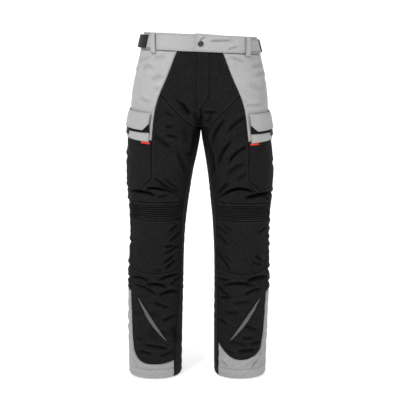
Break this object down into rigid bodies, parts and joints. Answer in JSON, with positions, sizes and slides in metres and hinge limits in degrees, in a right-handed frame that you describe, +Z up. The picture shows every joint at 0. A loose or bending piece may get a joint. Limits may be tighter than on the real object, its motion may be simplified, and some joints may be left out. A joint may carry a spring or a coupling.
{
  "type": "textile touring trousers",
  "caption": "Full-length panelled textile trousers in their worn shape, hollow, with ribbed knees, flapped thigh pockets, pale hips and hem panels, a fly and an adjustable waistband.",
  "frame": {"origin": "the middle of the waistband's opening, at half the band's height", "axes": "+Z up along the body, -Y is the front, +X the wearer's left"},
  "size_m": [0.4559, 0.269, 1.0635],
  "materials": {
    "black_cloth": "matt woven",
    "grey_cloth": "matt woven",
    "hem_grey_cloth": "matt woven",
    "tab_rubber": "satin",
    "red_cloth": "matt",
    "reflective_cloth": "satin",
    "dark_metal": "satin, darkened"
  },
  "bodies": {
    "root": {"front_centre_right": "black_cloth", "front_centre_left": "black_cloth", "fly_placket": "black_cloth", "thigh_front_right": "black_cloth", "thigh_front_left": "black_cloth", "side_panel_right": "black_cloth", "side_panel_left": "black_cloth", "knee_cap_right": "black_cloth", "knee_cap_left": "black_cloth", "knee_ribs_right": "black_cloth", "knee_ribs_left": "black_cloth", "knee_pad_panel_right": "black_cloth", "knee_pad_panel_left": "black_cloth", "shin_panel_right": "black_cloth", "shin_panel_left": "black_cloth", "inner_leg_right": "black_cloth", "inner_leg_left": "black_cloth", "back_upper_right": "black_cloth", "back_upper_left": "black_cloth", "back_lower_right": "black_cloth", "back_lower_left": "black_cloth", "pocket_face_right": "black_cloth", "pocket_face_left": "black_cloth", "hip_panel_right": "grey_cloth", "hip_panel_left": "grey_cloth", "pocket_band_right": "grey_cloth", "pocket_band_left": "grey_cloth", "pocket_flap_right": "grey_cloth", "pocket_flap_left": "grey_cloth", "gaiter_right": "hem_grey_cloth", "gaiter_left": "hem_grey_cloth", "waistband_front_right": "grey_cloth", "waistband_front_left": "grey_cloth", "waistband_back": "grey_cloth", "adjuster_strap_right": "grey_cloth", "adjuster_strap_left": "grey_cloth", "belt_loop_front_right": "grey_cloth", "belt_loop_front_left": "grey_cloth", "belt_loop_back_right": "grey_cloth", "belt_loop_back_left": "grey_cloth", "belt_loop_centre_back": "grey_cloth", "adjuster_tab_right": "tab_rubber", "adjuster_tab_left": "tab_rubber", "flap_pull_right": "tab_rubber", "flap_pull_left": "tab_rubber", "red_tab_right": "red_cloth", "red_tab_left": "red_cloth", "reflector_right": "reflective_cloth", "reflector_left": "reflective_cloth", "snap_button": "dark_metal"}
  },
  "joints": []
}
